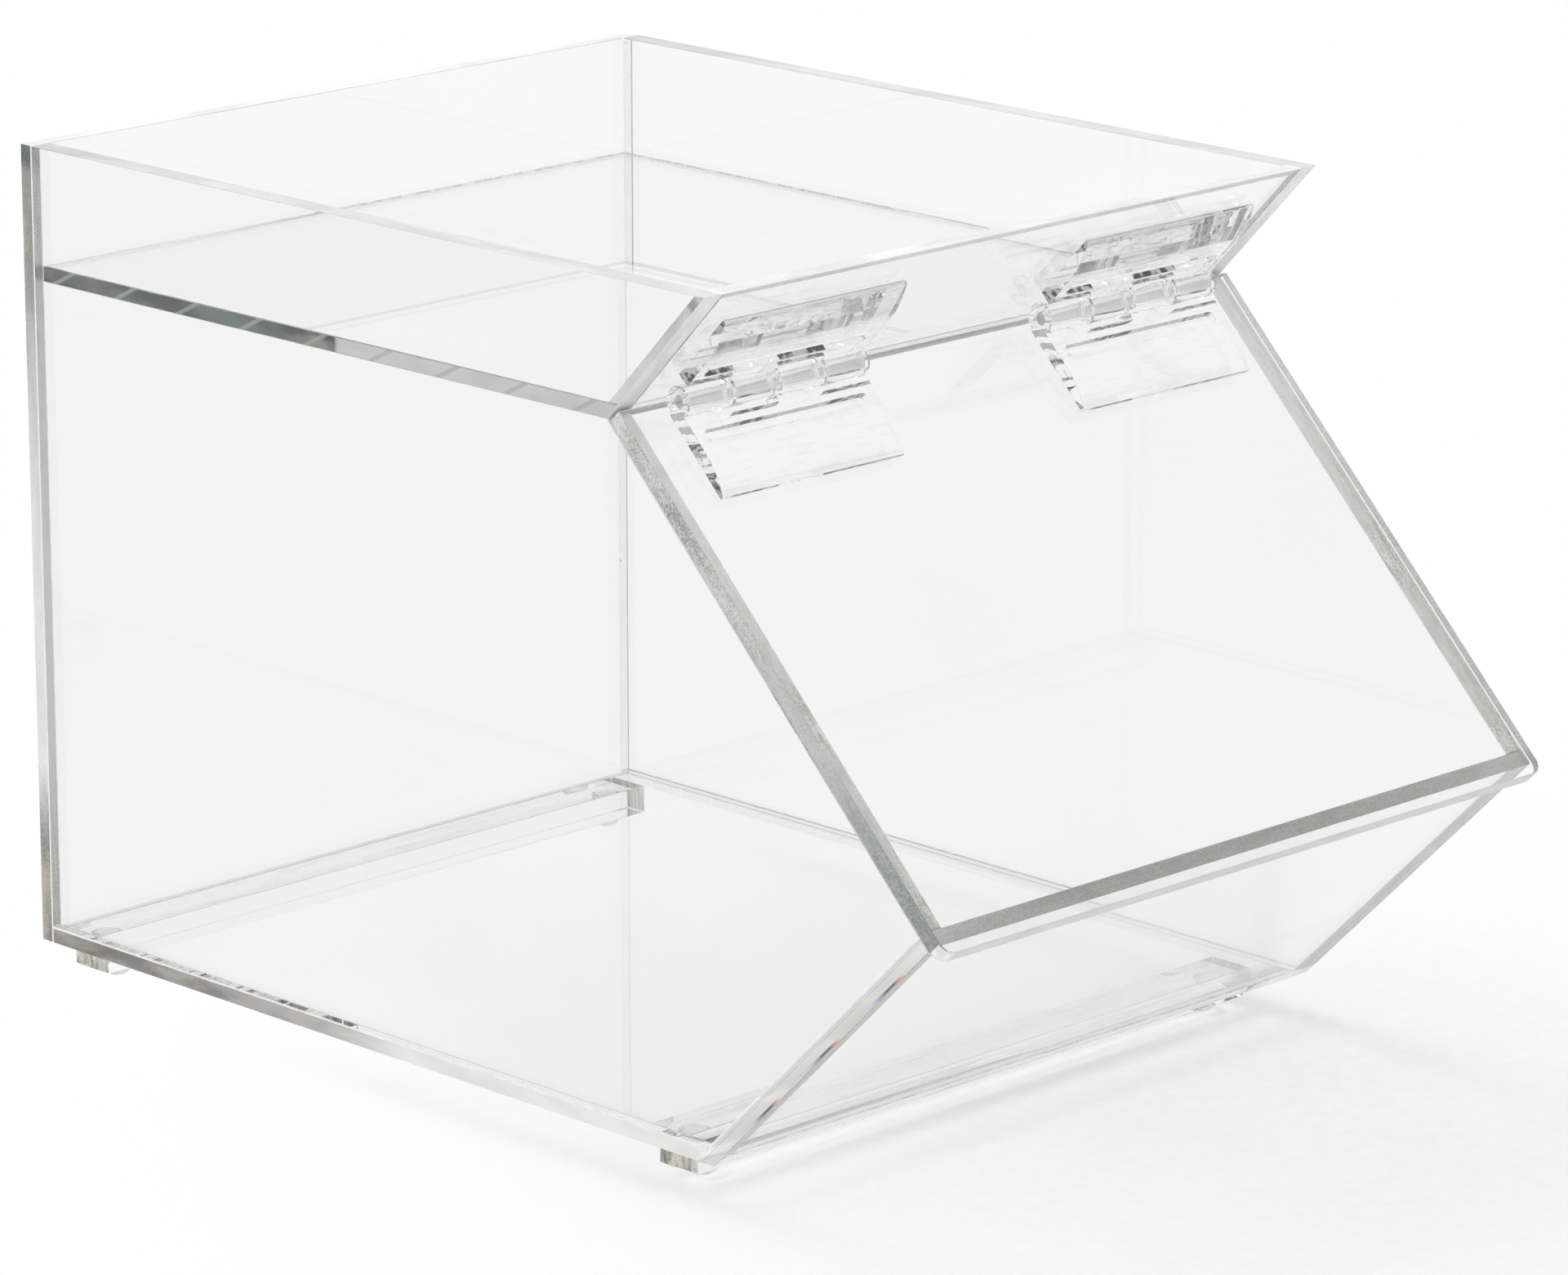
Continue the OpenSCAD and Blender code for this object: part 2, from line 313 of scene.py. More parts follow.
def sawn_edge_with_painted_shade(name, node, along, tones_with_painted_shade, patch=5, grit=0.35, clear=0.0):
    """Sawn acrylic edge, partly polished: matte grey clouds drawn out along it, and fine grit, over
    bands of painted shade and reflection. clear is the share of light that it lets into the sheet."""
    material, tree, shader, coords = start_material(name, **SAWN)
    shader.inputs["Transmission Weight"].default_value = clear
    colour, pattern, _ = edge_clouds_with_painted_shade(tree, coords, node, along, tones_with_painted_shade, patch, grit)
    finish_edge(tree, shader, colour, pattern)
    return material


def tray_end_painted_reflections(name, node, tones_with_painted_shade):
    """The tray's end against a side, bonded: painted dark greenish for the acrylic seen end on,
    with painted pale slanting streaks of light reflected inside the sheet, and clear towards the
    front."""
    material, tree, shader, coords = start_material(name, **SAWN)
    colour, pattern, place = edge_clouds_with_painted_shade(tree, coords, node, -ALONG_Y, tones_with_painted_shade, 6, 0.15)
    # Painted pale streaks of light reflected inside the sheet, about 23 mm apart, slanting twice as
    # far along the edge as down it
    slant = add_node(
        tree, "ShaderNodeVectorMath", {1: (0, -1, -2)}, {0: coords}, operation="DOT_PRODUCT"
    ).outputs["Value"]
    turn = add_node(
        tree, "ShaderNodeMath", {1: 1 / (23 * MM)}, {0: slant}, operation="MULTIPLY"
    ).outputs["Value"]
    cycle = add_node(
        tree, "ShaderNodeMath", links={0: turn}, operation="FRACT"
    ).outputs["Value"]
    painted_streak = add_node(
        tree, "ShaderNodeValToRGB", links={"Fac": cycle},
        stops=[(0.0, 0.0), (0.02, 0.75), (0.09, 0.6), (0.12, 0.0)],
    ).outputs["Color"]
    painted_striped = add_node(
        tree, "ShaderNodeMix", {7: linear("#c9cfcc")}, {0: painted_streak, 6: colour},
        data_type="RGBA",
    ).outputs[2]
    finish_edge(tree, shader, painted_striped, pattern)
    return material


def polished_end_painted_glints(name, node, along, out, painted_lines, painted_glints):
    """Flame-polished end of a sheet: pale, with a thin line painted along each corner where it
    shows through, and short painted rainbow flecks of refracted light. The first list is (share of
    the thickness, colour), from the outer face inwards; the second is (share of the way along,
    colour) for the flecks, which lie along the outer corner."""
    material, tree, shader, coords = start_material(name, **SAWN)
    travel = add_node(
        tree, "ShaderNodeVectorMath", {1: along}, {0: coords}, operation="DOT_PRODUCT"
    ).outputs["Value"]
    first, last = reach_along(node, along)
    place = add_node(
        tree, "ShaderNodeMapRange", {"From Min": first, "From Max": last}, {"Value": travel}
    ).outputs["Result"]
    depth = add_node(
        tree, "ShaderNodeVectorMath", {1: -out}, {0: coords}, operation="DOT_PRODUCT"
    ).outputs["Value"]
    outer, inner = reach_along(node, -out)
    across = add_node(
        tree, "ShaderNodeMapRange", {"From Min": outer, "From Max": inner}, {"Value": depth}
    ).outputs["Result"]
    body = add_node(
        tree, "ShaderNodeValToRGB", links={"Fac": across}, stops=painted_lines
    ).outputs["Color"]
    painted_rainbow = add_node(
        tree, "ShaderNodeValToRGB", links={"Fac": place}, stops=painted_glints
    ).outputs["Color"]
    # Band along the outer corner where the painted rainbow flecks go
    corner = add_node(
        tree, "ShaderNodeValToRGB", links={"Fac": across},
        stops=[(0.02, 0.0), (0.05, 1.0), (0.15, 1.0), (0.2, 0.0)],
    ).outputs["Color"]
    colour = add_node(
        tree, "ShaderNodeMix", links={0: corner, 6: body, 7: painted_rainbow}, data_type="RGBA"
    ).outputs[2]
    tree.links.new(colour, shader.inputs["Base Color"])
    shader.inputs["Roughness"].default_value = 0.15
    shader.inputs["Transmission Weight"].default_value = 0.55
    return material


def moulded_acrylic():
    """Injection-moulded acrylic: water clear, with the slight ripple of a moulded surface."""
    material, tree, shader, noise = tinted(
        "moulded_acrylic_clear", 6, [(0.3, "#fafafa"), (0.7, "#ffffff")], CLEAR
    )
    bump = add_node(
        tree, "ShaderNodeBump", {"Strength": 0.1, "Distance": 0.1 * MM}, {"Height": noise}
    )
    tree.links.new(bump.outputs["Normal"], shader.inputs["Normal"])
    return material


def soft_pad():
    """Clear polyurethane pad: slightly hazy, satin."""
    return tinted(
        "polyurethane_pad_clear", 2, [(0.3, "#e6e7e6"), (0.7, "#f4f4f4")],
        {"IOR": 1.48, "Transmission Weight": 0.95, "Roughness": 0.08},
    )[0]


# Directions of the side view
ALONG_X, ALONG_Y, ALONG_Z = Vector((1, 0, 0)), Vector((0, 1, 0)), Vector((0, 0, 1))
FLAT_ANGLE = math.radians(0.5)
CORNER_ANGLE = math.radians(25)
ROUND_ANGLE = math.radians(15)
BOND_FILM = 0.01 * MM
SAME_PLANE = 0.03 * MM
CORNER_SIZE = 0.25 * MM
BAR_CORNER = 0.3 * MM
MOULDED_CORNER = 0.12 * MM
# The walls of a leaf's cut-outs lie this far from the pin's axis
CUT_OUT_NEAR, CUT_OUT_FAR = 4 * MM, 7 * MM
FLAT_AREA = (4 * MM) ** 2


def solid_mesh(node):
    """The node's solid with its loose triangles joined into whole faces."""
    shape = bmesh.new()
    shape.from_mesh(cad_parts[node].data)
    bmesh.ops.remove_doubles(shape, verts=shape.verts, dist=0.002 * MM)
    bmesh.ops.dissolve_limit(
        shape, angle_limit=FLAT_ANGLE, verts=shape.verts, edges=shape.edges
    )
    shape.normal_update()
    return shape


def ease(shape, size, segments):
    """Eases the sharp corners, and marks the faces that this makes in the layer it returns."""
    is_eased = shape.faces.layers.int.new("eased")
    corners = [e for e in shape.edges if e.is_manifold and e.calc_face_angle() > CORNER_ANGLE]
    made = bmesh.ops.bevel(
        shape, geom=corners, offset=size, offset_type="OFFSET", segments=segments,
        profile=0.5, affect="EDGES", material=-1, clamp_overlap=True,
    )["faces"]
    for face in made:
        face[is_eased] = 1
    shape.normal_update()
    return is_eased


def thin(shape):
    """Draws every face in by half the bond film, so that bonded faces don't coincide."""
    for vertex, shift in [
        (v, v.normal * v.calc_shell_factor() * BOND_FILM / 2) for v in shape.verts
    ]:
        vertex.co -= shift


def outward_normal(node, towards):
    """The normal of the node's largest faces, on the side that looks towards a direction."""
    shape = solid_mesh(node)
    normal = max(shape.faces, key=lambda face: face.calc_area()).normal.copy()
    shape.free()
    return normal if normal.dot(towards) > 0 else -normal


def place_piece(shape, name, node, body, materials):
    # Faces as large as a sheet's stay exactly flat, so that they refract as polished sheet does
    for face in shape.faces:
        face.smooth = face.calc_area() < FLAT_AREA
    mesh = bpy.data.meshes.new(name)
    shape.to_mesh(mesh)
    shape.free()
    mesh.set_sharp_from_angle(angle=ROUND_ANGLE)
    piece = bpy.data.objects.new(name, mesh)
    bpy.context.scene.collection.objects.link(piece)
    for material in materials:
        mesh.materials.append(material)
    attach(piece, body)
    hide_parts(node)
    return piece


DOOR_OUT = outward_normal("door_panel", ALONG_Z)
FASCIA_OUT = outward_normal("fascia_panel", -ALONG_Z)
FRONT_OUT = outward_normal("lower_front_panel", -ALONG_Z)
# Down the door, up the fascia, and down the lower front
DOOR_ALONG = ALONG_X.cross(DOOR_OUT)
FASCIA_ALONG = FASCIA_OUT.cross(ALONG_X)
FRONT_ALONG = FRONT_OUT.cross(ALONG_X)
if DOOR_ALONG.z > 0:
    DOOR_ALONG = -DOOR_ALONG
if FASCIA_ALONG.z < 0:
    FASCIA_ALONG = -FASCIA_ALONG
if FRONT_ALONG.z > 0:
    FRONT_ALONG = -FRONT_ALONG

HINGE_AXIS = Vector((0, -58.717528 * MM, 182.251592 * MM))

POLISHED = cast_sheet()
BOND = solvent_bond()
CORNER = scraped_corner_and_painted_highlight()
GROOVE = joint_groove()
BEAD = bond_line("bond_bead", [(0.3, "#b4b4b3"), (0.7, "#d4d4d3")])
DASHED_BEAD = bond_line("bond_bead_dashed", [(0.44, "#3c3c3a"), (0.5, "#f0f0ef")])
FROSTED_EDGE = frosted_edge()
PIN = milky_pin()
CUT_OUT = cut_out_wall_painted_shade()
MOULDED = moulded_acrylic()
PAD = soft_pad()
RUNNER_BOND = runner_bond()

# The dark and light bands in these tone lists along each edge are painted shade and reflection,
# over the sawn edges' own grey
PALE_TONES = [(0.0, "#dcdcdb", "#eeeeed"), (1.0, "#dcdcdb", "#eeeeed")]
BACK_EDGE = sawn_edge_with_painted_shade("sawn_back_edge_painted_shade", "back_panel", ALONG_Z, [
    (0.0, "#7f7d77", "#b6b1a8"), (0.10, "#777671", "#b4afa6"), (0.16, "#97989a", "#c3c3bf"),
    (0.23, "#dededd", "#ececeb"), (0.5, "#dadbda", "#e9e9e8"), (0.66, "#cbcbca", "#dadad9"),
    (0.76, "#a9aaa8", "#c0c1bf"), (0.86, "#8f908c", "#b2b0ab"), (0.965, "#8f908c", "#aeaeab"),
    (0.98, "#515a57", "#7f8885"), (1.0, "#515a57", "#7f8885"),
])
SIDE_BACK_EDGE = sawn_edge_with_painted_shade("sawn_side_back_edge_painted_shade", "back_panel", ALONG_Z, [
    (0.0, "#8d8c86", "#d8d5cf"), (0.12, "#94938f", "#dddbd6"), (0.18, "#c4c4c2", "#e9e9e7"),
    (0.25, "#eaeae9", "#f8f8f7"), (0.5, "#e6e7e6", "#f6f6f5"), (0.66, "#dcdcdb", "#f2f2f1"),
    (0.78, "#bcbdbb", "#ececea"), (0.92, "#9b9c99", "#e6e6e3"), (0.96, "#8a8b88", "#dcdcd9"),
    (0.975, "#3f4543", "#a2a6a4"), (1.0, "#3f4543", "#a2a6a4"),
], patch=1.6, grit=0.6, clear=0.4)
BASE_EDGE = sawn_edge_with_painted_shade("sawn_base_edge_painted_shade", "base_panel", -ALONG_Y, [
    (0.0, "#8d8984", "#aaa6a0"), (0.06, "#6f6c67", "#96928c"), (0.14, "#7f7b77", "#a39f9a"),
    (0.32, "#8a8783", "#acaaa6"), (0.42, "#a5a4a2", "#b7b6b4"), (0.50, "#c9c9c8", "#d4d4d3"),
    (0.56, "#e4e4e3", "#ececeb"), (1.0, "#e6e6e5", "#efefee"),
], patch=4, grit=0.2)
RIM_EDGE = sawn_edge_with_painted_shade("sawn_rim_edge", "left_side_panel", -ALONG_Y, [
    (0.0, "#b0b0af", "#c8c8c7"), (0.2, "#c8c8c7", "#dadad9"), (1.0, "#d2d2d1", "#e2e2e1"),
])
RIM_CROSS_EDGE = sawn_edge_with_painted_shade("sawn_cross_rim_edge", "back_panel", ALONG_X, PALE_TONES)
DOOR_SIDE_EDGE = sawn_edge_with_painted_shade("sawn_door_edge_painted_shade", "door_panel", DOOR_ALONG, [
    (0.0, "#bfc0be", "#e2e2e1"), (0.06, "#9fa19f", "#d0d0cf"), (0.12, "#b4b5b3", "#dcdcdb"),
    (0.18, "#8b8d8b", "#cacac9"), (0.28, "#a0a2a0", "#cfcfce"), (0.36, "#a8aaa8", "#d6d6d5"),
    (0.5, "#b6b8b6", "#c8c9c8"), (0.64, "#b4b5b4", "#c6c7c6"), (0.74, "#9c9f9d", "#b0b3b1"),
    (0.9, "#828784", "#a5a9a7"), (1.0, "#818683", "#a1a5a3"),
], patch=2.2, grit=0.65)
SLOPE_EDGE = sawn_edge_with_painted_shade("sawn_slope_edge_painted_shade", "door_panel", DOOR_ALONG, [
    (0.0, "#dededd", "#ececeb"), (0.3, "#d3d3d1", "#e4e4e3"), (0.49, "#c8c8c6", "#dadad8"),
    (0.52, "#b0aea8", "#e4e4e2"), (0.61, "#b0aea8", "#e4e4e2"), (0.64, "#c4c4c2", "#d8d8d6"),
    (0.86, "#bfbfbc", "#d5d5d2"), (0.90, "#aaa8a1", "#dededc"), (0.96, "#aaa8a1", "#dededc"),
    (1.0, "#b9b9b6", "#cfcfcc"),
], patch=1.4, grit=0.5)
FASCIA_SIDE_EDGE = sawn_edge_with_painted_shade("sawn_fascia_edge", "fascia_panel", FASCIA_ALONG, [
    (0.0, "#c9c9c8", "#dadad9"), (0.5, "#d2d2d1", "#e2e2e1"), (1.0, "#dcdcdb", "#ebebea"),
], patch=3)
# Painted light and shade: the near-white lower part stands in for light the end gets too little of,
# and the dark blue-grey blobs near the tip are painted shade and reflection
FASCIA_END = sawn_edge_with_painted_shade("bonded_fascia_end_painted_light_and_shade", "fascia_panel", FASCIA_ALONG, [
    (0.0, "#ececeb", "#f8f8f8"), (0.55, "#f0f0ef", "#fbfbfb"), (0.62, "#f6f6f6", "#fdfdfd"),
    (0.79, "#dfe3e6", "#f6f6f6"), (0.82, "#25292a", "#8a9296"), (0.865, "#30373a", "#a4acb0"),
    (0.89, "#e3e6e8", "#f8f8f8"), (0.935, "#dde2e5", "#f6f6f6"), (0.96, "#30373a", "#7d8c99"),
    (1.0, "#5d6a72", "#a9bccb"),
], patch=1.5, grit=0.1, clear=0.6)
NOSE_EDGE = sawn_edge_with_painted_shade("sawn_nose_edge", "lower_front_panel", ALONG_X, [
    (0.0, "#b2b2b1", "#c8c8c7"), (0.06, "#9b9b99", "#b5b5b3"), (0.25, "#8b8b88", "#a5a5a2"),
    (0.8, "#8f8f8c", "#a8a8a5"), (1.0, "#a2a2a0", "#bbbbb9"),
], patch=3, grit=0.6)
DOOR_LIP_EDGE = sawn_edge_with_painted_shade("sawn_door_lip", "door_panel", ALONG_X, [
    (0.0, "#cdcdcc", "#d8d8d7"), (1.0, "#c8c8c7", "#d4d4d3"),
], patch=3, grit=0.3)
TRAY_END = tray_end_painted_reflections("tray_end_painted_light_pipe", "tray_panel", [
    (0.0, "#595853", "#928e87"), (0.06, "#5c6663", "#858c88"), (0.38, "#5f6d6b", "#84908c"),
    (0.42, "#717a78", "#8f9795"), (0.45, "#3f4346", "#a9a39c"), (0.5, "#1d3f5c", "#b4aaa0"),
    (0.52, "#47494b", "#c4beb8"), (0.525, "#f0f0f0", "#fafafa"), (1.0, "#f0f0f0", "#fafafa"),
])
FRONT_END = polished_end_painted_glints(
    "polished_front_end_painted_glints", "lower_front_panel", FRONT_ALONG, FRONT_OUT,
    [
        (0.0, "#bcbcba"), (0.06, "#ececeb"), (0.13, "#ececeb"), (0.17, "#c6c6c4"),
        (0.22, "#ededec"), (0.66, "#f0f0ef"), (0.70, "#c9c9c8"), (0.74, "#fbfbfb"),
        (0.93, "#fbfbfb"), (0.97, "#c2c2c0"),
    ],
    [
        (0.10, "#ececeb"), (0.12, "#e3a585"), (0.15, "#55504f"), (0.18, "#47657f"),
        (0.21, "#7fb0da"), (0.24, "#ececeb"), (0.38, "#ececeb"), (0.40, "#dfa07f"),
        (0.43, "#57504c"), (0.46, "#42607a"), (0.49, "#86b2d8"), (0.52, "#ececeb"),
        (0.65, "#ececeb"), (0.67, "#e79b77"), (0.69, "#4d4440"), (0.72, "#3f5666"),
        (0.745, "#7fb0da"), (0.77, "#ececeb"),
    ],
)
BAR_END = sawn_edge_with_painted_shade("sawn_bar_end", "front_runner", ALONG_Z, [
    (0.0, "#7b776f", "#dcd5cb"), (1.0, "#a09c94", "#f4efe7"),
], patch=2, grit=0.3)

# The fascia leaves are bonded in streaks, the door leaves almost cleanly
FASCIA_LEAF_BOND = leaf_bond("leaf_bond_streaked", FASCIA_ALONG, [
    (0.36, "#f2f3f3"), (0.45, "#fafafa"), (0.465, "#6c6e6e"), (0.48, "#fdfdfd"),
    (0.57, "#f4f5f5"), (0.582, "#8c8e8e"), (0.594, "#fbfbfb"),
])
DOOR_LEAF_BOND = leaf_bond("leaf_bond_clean", DOOR_ALONG, [
    (0.30, "#f8f8f8"), (0.45, "#fefefe"),
])

SHEETS = {
    "back_panel": (
        "back_sheet",
        [(-ALONG_X, BACK_EDGE), (ALONG_X, FROSTED_EDGE), (ALONG_Z, RIM_CROSS_EDGE),
         (-ALONG_Z, FROSTED_EDGE)],
        ["base_panel", "left_side_panel", "right_side_panel", "tray_panel"],
    ),
    "base_panel": (
        "base_sheet",
        [(-ALONG_X, BASE_EDGE), (ALONG_X, FROSTED_EDGE)],
        ["back_panel", "left_side_panel", "right_side_panel", "lower_front_panel",
         "front_runner", "rear_runner"],
    ),
    "left_side_panel": (
        "left_side_sheet",
        [(ALONG_Y, SIDE_BACK_EDGE), (ALONG_Z, RIM_EDGE), (DOOR_OUT, SLOPE_EDGE),
         (FASCIA_OUT, FASCIA_SIDE_EDGE)],
        ["back_panel", "base_panel", "tray_panel", "fascia_panel", "lower_front_panel"],
    ),
    "right_side_panel": (
        "right_side_sheet",
        [(ALONG_Z, RIM_EDGE), (DOOR_OUT, SLOPE_EDGE), (FASCIA_OUT, FASCIA_SIDE_EDGE)],
        ["back_panel", "base_panel", "tray_panel", "fascia_panel", "lower_front_panel"],
    ),
    "tray_panel": (
        "tray_sheet",
        [(-ALONG_X, TRAY_END)],
        ["back_panel", "left_side_panel", "right_side_panel", "fascia_panel"],
    ),
    "fascia_panel": (
        "fascia_sheet",
        [(-ALONG_X, FASCIA_END), (ALONG_Z, RIM_CROSS_EDGE)],
        ["tray_panel", "left_side_panel", "right_side_panel", "left_fascia_leaf",
         "right_fascia_leaf"],
    ),
    "lower_front_panel": (
        "lower_front_sheet",
        [(DOOR_OUT, NOSE_EDGE), (-ALONG_X, FRONT_END), (ALONG_X, FROSTED_EDGE)],
        ["base_panel", "left_side_panel", "right_side_panel"],
    ),
    "door_panel": (
        "door_sheet",
        [(-ALONG_X, DOOR_SIDE_EDGE), (ALONG_X, FROSTED_EDGE), (DOOR_ALONG, DOOR_LIP_EDGE)],
        ["left_door_leaf", "right_door_leaf"],
    ),
}
# The bin's outer faces, as (direction, distance from the origin)
OUTER_FACES = [
    (ALONG_Y, reach_along("back_panel", ALONG_Y)[1]),
    (ALONG_Z, reach_along("back_panel", ALONG_Z)[1]),
    (-ALONG_Z, reach_along("base_panel", -ALONG_Z)[1]),
    (ALONG_X, reach_along("base_panel", ALONG_X)[1]),
    (-ALONG_X, reach_along("base_panel", -ALONG_X)[1]),
]


def corner_size(node):
    """How much a piece's corners are eased: mouldings least, bars most."""
    return MOULDED_CORNER if "leaf" in node else BAR_CORNER if "runner" in node else CORNER_SIZE


def contact_faces(shape, neighbour):
    """The faces of neighbour that lie face to face with one of shape's."""
    return [
        other for other in neighbour.faces
        if any(
            face.normal.dot(other.normal) < -0.999
            and abs((face.calc_center_median() - other.calc_center_median()).dot(face.normal))
            < SAME_PLANE
            for face in shape.faces
        )
    ]


def score(shape, neighbour, size):
    """Cuts the faces of shape along the outline of each face that neighbour is bonded to, drawn
    in by the size of neighbour's eased corners."""
    for contact in contact_faces(shape, neighbour):
        middle = contact.calc_center_median()
        for edge in contact.edges:
            start, end = (v.co for v in edge.verts)
            if (end - start).length > CORNER_SIZE:
                across = (end - start).cross(contact.normal).normalized()
                inwards = across if across.dot(middle - start) > 0 else -across
                bmesh.ops.bisect_plane(
                    shape, geom=shape.verts[:] + shape.edges[:] + shape.faces[:],
                    dist=0.005 * MM, plane_co=start + inwards * size, plane_no=across,
                )


def is_outside(point):
    return any(
        abs(point.dot(direction) - distance) < 2 * CORNER_SIZE
        for direction, distance in OUTER_FACES
    )


for node, (name, finishes, bonded_to) in SHEETS.items():
    shape = solid_mesh(node)
    through = max(shape.faces, key=lambda face: face.calc_area()).normal.copy()
    is_eased = ease(shape, CORNER_SIZE, 2)
    neighbours = [solid_mesh(other) for other in bonded_to]
    for other, neighbour in zip(bonded_to, neighbours):
        score(shape, neighbour, corner_size(other))
        ease(neighbour, corner_size(other), 2)
    trees = [BVHTree.FromBMesh(neighbour) for neighbour in neighbours]
    seat_bond = DOOR_LEAF_BOND if node in ("door_panel", "fascia_panel") else BOND
    # The door's rounded corners take the pale corner finish as a painted highlight, other edges
    # without a finish of their own are clear
    plain_edge_or_painted_highlight = CORNER if node == "door_panel" else FROSTED_EDGE
    materials = [POLISHED, CORNER, seat_bond, GROOVE, DASHED_BEAD, BEAD, plain_edge_or_painted_highlight]
    first_finish = len(materials)
    materials += [finish for _, finish in finishes]
    for face in shape.faces:
        centre = face.calc_center_median()
        hits = [hit for hit in (tree.find_nearest(centre, 1 * MM) for tree in trees) if hit[0]]
        sawn = [
            i for i, (outward, _) in enumerate(finishes)
            if outward.dot(face.normal) > 0.99 and abs(through.dot(face.normal)) < 0.9
        ]
        if face[is_eased]:
            at_joint = any(hit[3] < 2 * CORNER_SIZE for hit in hits)
            leans = max(range(len(finishes)), key=lambda i: finishes[i][0].dot(face.normal))
            if at_joint and is_outside(centre):
                face.material_index = 3
            elif at_joint:
                face.material_index = 4 if node == "base_panel" and centre.x < 0 else 5
            elif finishes[leans][0].dot(face.normal) > 0.3:
                face.material_index = first_finish + leans
            else:
                face.material_index = 1
        elif sawn:
            face.material_index = first_finish + sawn[0]
        elif any(hit[3] < SAME_PLANE and hit[1].dot(face.normal) < -0.99 for hit in hits):
            face.material_index = 2
        elif abs(through.dot(face.normal)) < 0.9:
            face.material_index = 6
    for neighbour in neighbours:
        neighbour.free()
    thin(shape)
    body = "door" if node == "door_panel" else "frame"
    place_piece(shape, name, node, body, materials)


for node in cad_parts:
    if node in SHEETS:
        continue
    shape = solid_mesh(node)
    body = "door" if node in ("left_door_leaf", "right_door_leaf") else "frame"
    if "runner" in node:
        ease(shape, BAR_CORNER, 2)
        for face in shape.faces:
            if abs(face.normal.x) > 0.99:
                face.material_index = 1
            elif face.normal.z > 0.99:
                face.material_index = 2
        thin(shape)
        place_piece(
            shape, node + "_bar", node, body, [POLISHED, BAR_END, RUNNER_BOND]
        )
    elif "bumper" in node:
        place_piece(shape, node + "_pad", node, body, [PAD])
    elif "pin" in node:
        ease(shape, MOULDED_CORNER, 2)
        place_piece(shape, node + "_moulding", node, body, [PIN])
    else:
        seat, bond, to_pin = (
            (-DOOR_OUT, DOOR_LEAF_BOND, -DOOR_ALONG) if body == "door"
            else (-FASCIA_OUT, FASCIA_LEAF_BOND, -FASCIA_ALONG)
        )
        ease(shape, MOULDED_CORNER, 2)
        for face in shape.faces:
            reach = (HINGE_AXIS - face.calc_center_median()).dot(to_pin)
            if face.normal.dot(seat) > 0.999:
                face.material_index = 1
            elif face.normal.dot(to_pin) > 0.98 and CUT_OUT_NEAR < reach < CUT_OUT_FAR:
                face.material_index = 2
        thin(shape)
        place_piece(
            shape, node + "_moulding", node, body, [MOULDED, bond, CUT_OUT]
        )


# Stage: a pale floor that fades into the white surround, a soft lamp and an even world

FLOOR_RADIUS = 3.0
FLOOR_BELOW = 0.05 * MM
# Where the bin's shadow falls, in front of its nose
SHADOW_CENTRE = (0.05, -0.13, 0.0)


def studio_floor():
    """Matte white paper: takes the soft shadow near the bin, fades into the white surround; the
    fade starts at the shadow's centre, so it also paints the floor darker there.
    """
    material, tree, shader, noise = tinted(
        "white_paper", 4, [(0.3, "#ececec"), (0.7, "#f0f0f0")], {"Roughness": 0.9}
    )
    coords = add_node(tree, "ShaderNodeTexCoord").outputs["Object"]
    glow = add_node(tree, "ShaderNodeEmission", {"Color": (1, 1, 1, 1), "Strength": 1.0})
    distance = add_node(
        tree, "ShaderNodeVectorMath", {1: SHADOW_CENTRE}, {0: coords}, operation="DISTANCE"
    ).outputs["Value"]
    # The glow is least at the shadow's centre and grows outwards, so besides the lamp's real shadow
    # the floor is painted darker in a soft patch around it
    surround_fade_and_painted_shadow = add_node(
        tree, "ShaderNodeMapRange",
        {"From Min": 0.03, "From Max": 0.28, "To Min": 0.15, "To Max": 1.0}, {"Value": distance}
    ).outputs["Result"]
    mixed = add_node(
        tree, "ShaderNodeMixShader",
        links={0: surround_fade_and_painted_shadow, 1: shader.outputs["BSDF"], 2: glow.outputs["Emission"]},
    )
    output = next(n for n in tree.nodes if n.bl_idname == "ShaderNodeOutputMaterial")
    tree.links.new(mixed.outputs["Shader"], output.inputs["Surface"])
    return material


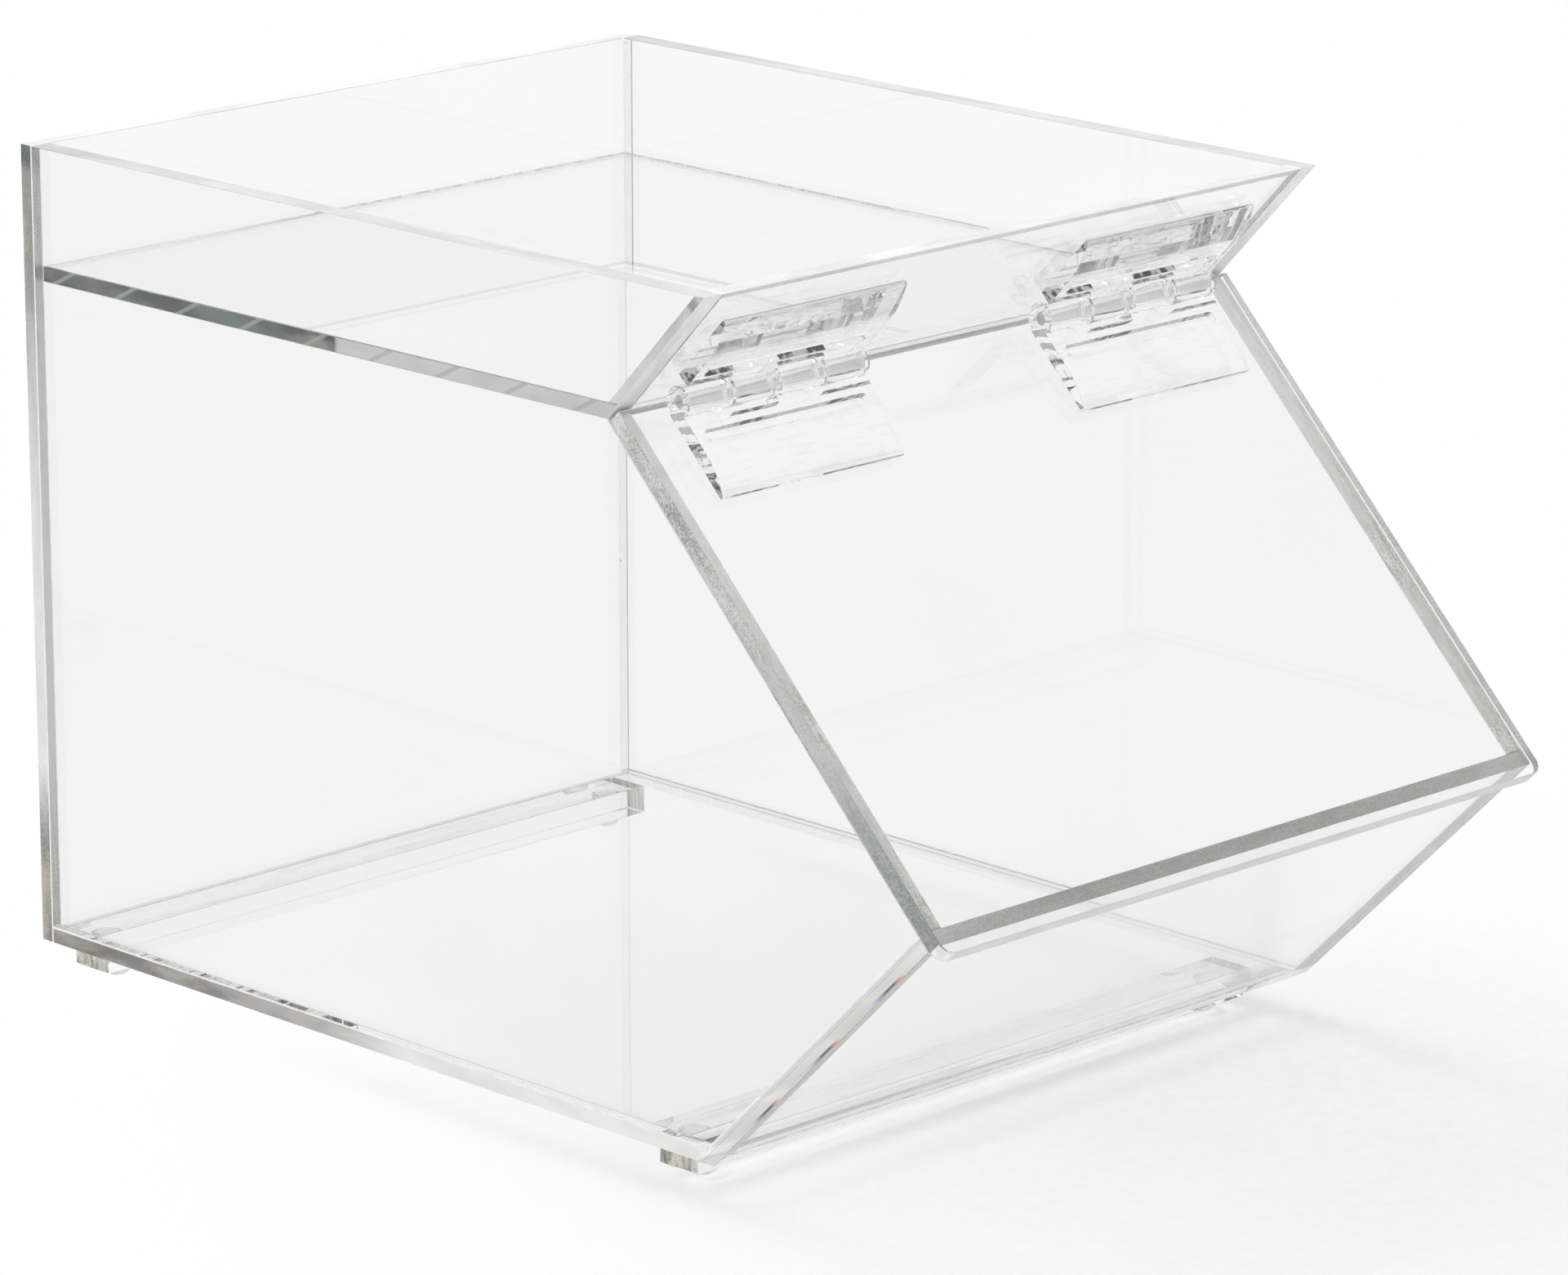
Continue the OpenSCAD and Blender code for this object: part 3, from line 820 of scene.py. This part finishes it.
floor_shape = bmesh.new()
bmesh.ops.create_circle(floor_shape, cap_ends=True, segments=96, radius=FLOOR_RADIUS)
for vertex in floor_shape.verts:
    vertex.co.z = -FLOOR_BELOW
floor_mesh = bpy.data.meshes.new("floor")
floor_shape.to_mesh(floor_mesh)
floor_shape.free()
floor_mesh.materials.append(studio_floor())
floor = bpy.data.objects.new("floor", floor_mesh)
bpy.context.scene.collection.objects.link(floor)

world = bpy.data.worlds.new("studio")
bpy.context.scene.world = world
world.use_nodes = True
tree = world.node_tree
tree.nodes.clear()
direction = add_node(tree, "ShaderNodeTexCoord").outputs["Generated"]
# The room on the camera's side is dimmer above the horizon, as a studio is
front = add_node(
    tree, "ShaderNodeVectorMath", {1: (-0.45, -0.6, 0.66)}, {0: direction},
    operation="DOT_PRODUCT",
).outputs["Value"]
room = add_node(
    tree, "ShaderNodeValToRGB", links={"Fac": front},
    stops=[(0.72, "#ffffff"), (0.9, "#c8c8c8")],
)
seen = add_node(tree, "ShaderNodeBackground", {"Strength": 1.0}, {"Color": room.outputs["Color"]})
even = add_node(
    tree, "ShaderNodeBackground", {"Strength": 0.9, "Color": linear("#ffffff")}
)
rays = add_node(tree, "ShaderNodeLightPath")
# Light that has met a matte surface comes from the even surround, whatever sheet it crosses
lighting = add_node(
    tree, "ShaderNodeMath", {1: 0.5}, {0: rays.outputs["Diffuse Depth"]},
    operation="GREATER_THAN",
).outputs["Value"]
white = add_node(tree, "ShaderNodeBackground", {"Strength": 1.0, "Color": linear("#ffffff")})
seen_white = add_node(
    tree, "ShaderNodeMixShader",
    links={
        0: rays.outputs["Is Camera Ray"], 1: seen.outputs["Background"],
        2: white.outputs["Background"],
    },
)
surround = add_node(
    tree, "ShaderNodeMixShader",
    links={0: lighting, 1: seen_white.outputs["Shader"], 2: even.outputs["Background"]},
)
add_node(tree, "ShaderNodeOutputWorld", links={"Surface": surround.outputs["Shader"]})

lamp_data = bpy.data.lights.new("softbox", "AREA")
lamp_data.shape = "RECTANGLE"
lamp_data.size = 1.1
lamp_data.size_y = 0.8
lamp_data.energy = 14
lamp = bpy.data.objects.new("softbox", lamp_data)
lamp.location = (0.0, 1.3, 1.7)
lamp.rotation_euler = Vector((0.0, 1.3, 1.6)).to_track_quat("Z", "Y").to_euler()
bpy.context.scene.collection.objects.link(lamp)
